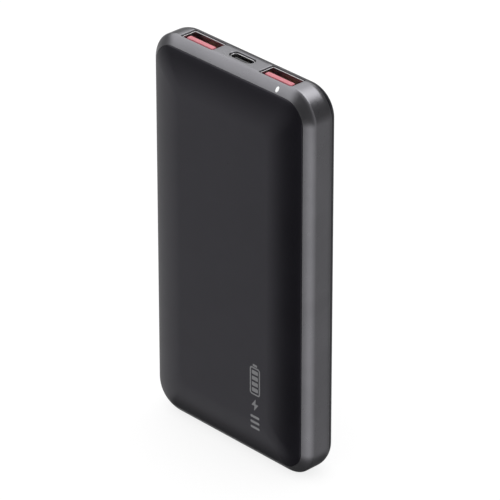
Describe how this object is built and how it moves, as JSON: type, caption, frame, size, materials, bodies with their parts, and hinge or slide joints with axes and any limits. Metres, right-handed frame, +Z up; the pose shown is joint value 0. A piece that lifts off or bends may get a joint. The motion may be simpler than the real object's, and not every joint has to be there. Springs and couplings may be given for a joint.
{
  "type": "power bank",
  "caption": "Slim portable power bank with a curved front cover, USB-A and USB-C sockets on the top edge, a side button and a full set of inner parts.",
  "frame": {"origin": "centre of the bounding box's bottom face, at the end away from the sockets", "axes": "+Z up along the long side towards the sockets, -Y out of the front cover, +X to the right seen from the front"},
  "size_m": [0.068, 0.0156, 0.129],
  "materials": {
    "cover_plastic": "fine satin texture, charcoal",
    "frame_plastic": "satin, dark grey",
    "black_adhesive": "matt",
    "pouch_foil": "satin laminate",
    "nickel": "satin",
    "amber_tape": "gloss film",
    "green_board": "solder mask",
    "chip_black": "matt moulding",
    "black_foam": "open foam",
    "white_adhesive": "matt",
    "steel_screw": "plated",
    "white_film": "film",
    "socket_steel": "plated, satin",
    "red_tongue": "satin",
    "gold_contact": "gold plated",
    "black_nylon": "satin",
    "moulded_core": "powder moulding",
    "capacitor_can": "satin",
    "ceramic_chip": "satin",
    "led_cream": "gloss",
    "light_guide": "milky",
    "red_insulation": "satin",
    "black_insulation": "satin",
    "black_epoxy": "gloss",
    "amber_enamel": "enamelled wire"
  },
  "bodies": {
    "casing": {"front_cover": "cover_plastic", "front_adhesive_ring": "black_adhesive", "mid_frame": "frame_plastic", "rear_cover": "cover_plastic", "battery_cell": "pouch_foil", "cell_tabs": "nickel", "cell_tape": "amber_tape", "cell_protection_board": "green_board", "protection_chips": "chip_black", "cell_foam_pad": "black_foam", "cell_adhesive_strips": "white_adhesive", "bottom_foam_block": "black_foam", "main_board": "green_board", "board_screws": "steel_screw", "board_insulator": "white_film", "usb_a_left_shell": "socket_steel", "usb_a_left_tongue": "red_tongue", "usb_a_left_contacts": "gold_contact", "usb_a_right_shell": "socket_steel", "usb_a_right_tongue": "red_tongue", "usb_a_right_contacts": "gold_contact", "usb_c_shell": "socket_steel", "usb_c_tongue": "black_nylon", "usb_c_contacts": "gold_contact", "usb_c_riser": "black_nylon", "power_inductor": "moulded_core", "polymer_capacitors": "capacitor_can", "ceramic_capacitors": "ceramic_chip", "power_controller": "chip_black", "charge_controller": "chip_black", "power_mosfets": "chip_black", "sense_resistor": "chip_black", "level_leds": "led_cream", "level_light_guide": "light_guide", "status_led": "led_cream", "status_light_guide": "light_guide", "switch_base": "black_nylon", "switch_cover": "socket_steel", "positive_lead": "red_insulation", "negative_lead": "black_insulation", "thermistor": "black_epoxy", "thermistor_leads": "amber_enamel"},
    "button": {"power_button": "frame_plastic", "switch_plunger": "black_nylon"}
  },
  "joints": [
    {"name": "button_press", "type": "slide", "parent": "casing", "child": "button", "axis": [1, 0, 0], "range_m": [0, 0.00025], "stiffness_N_per_m": 5, "springref_m": -0.0002}
  ]
}
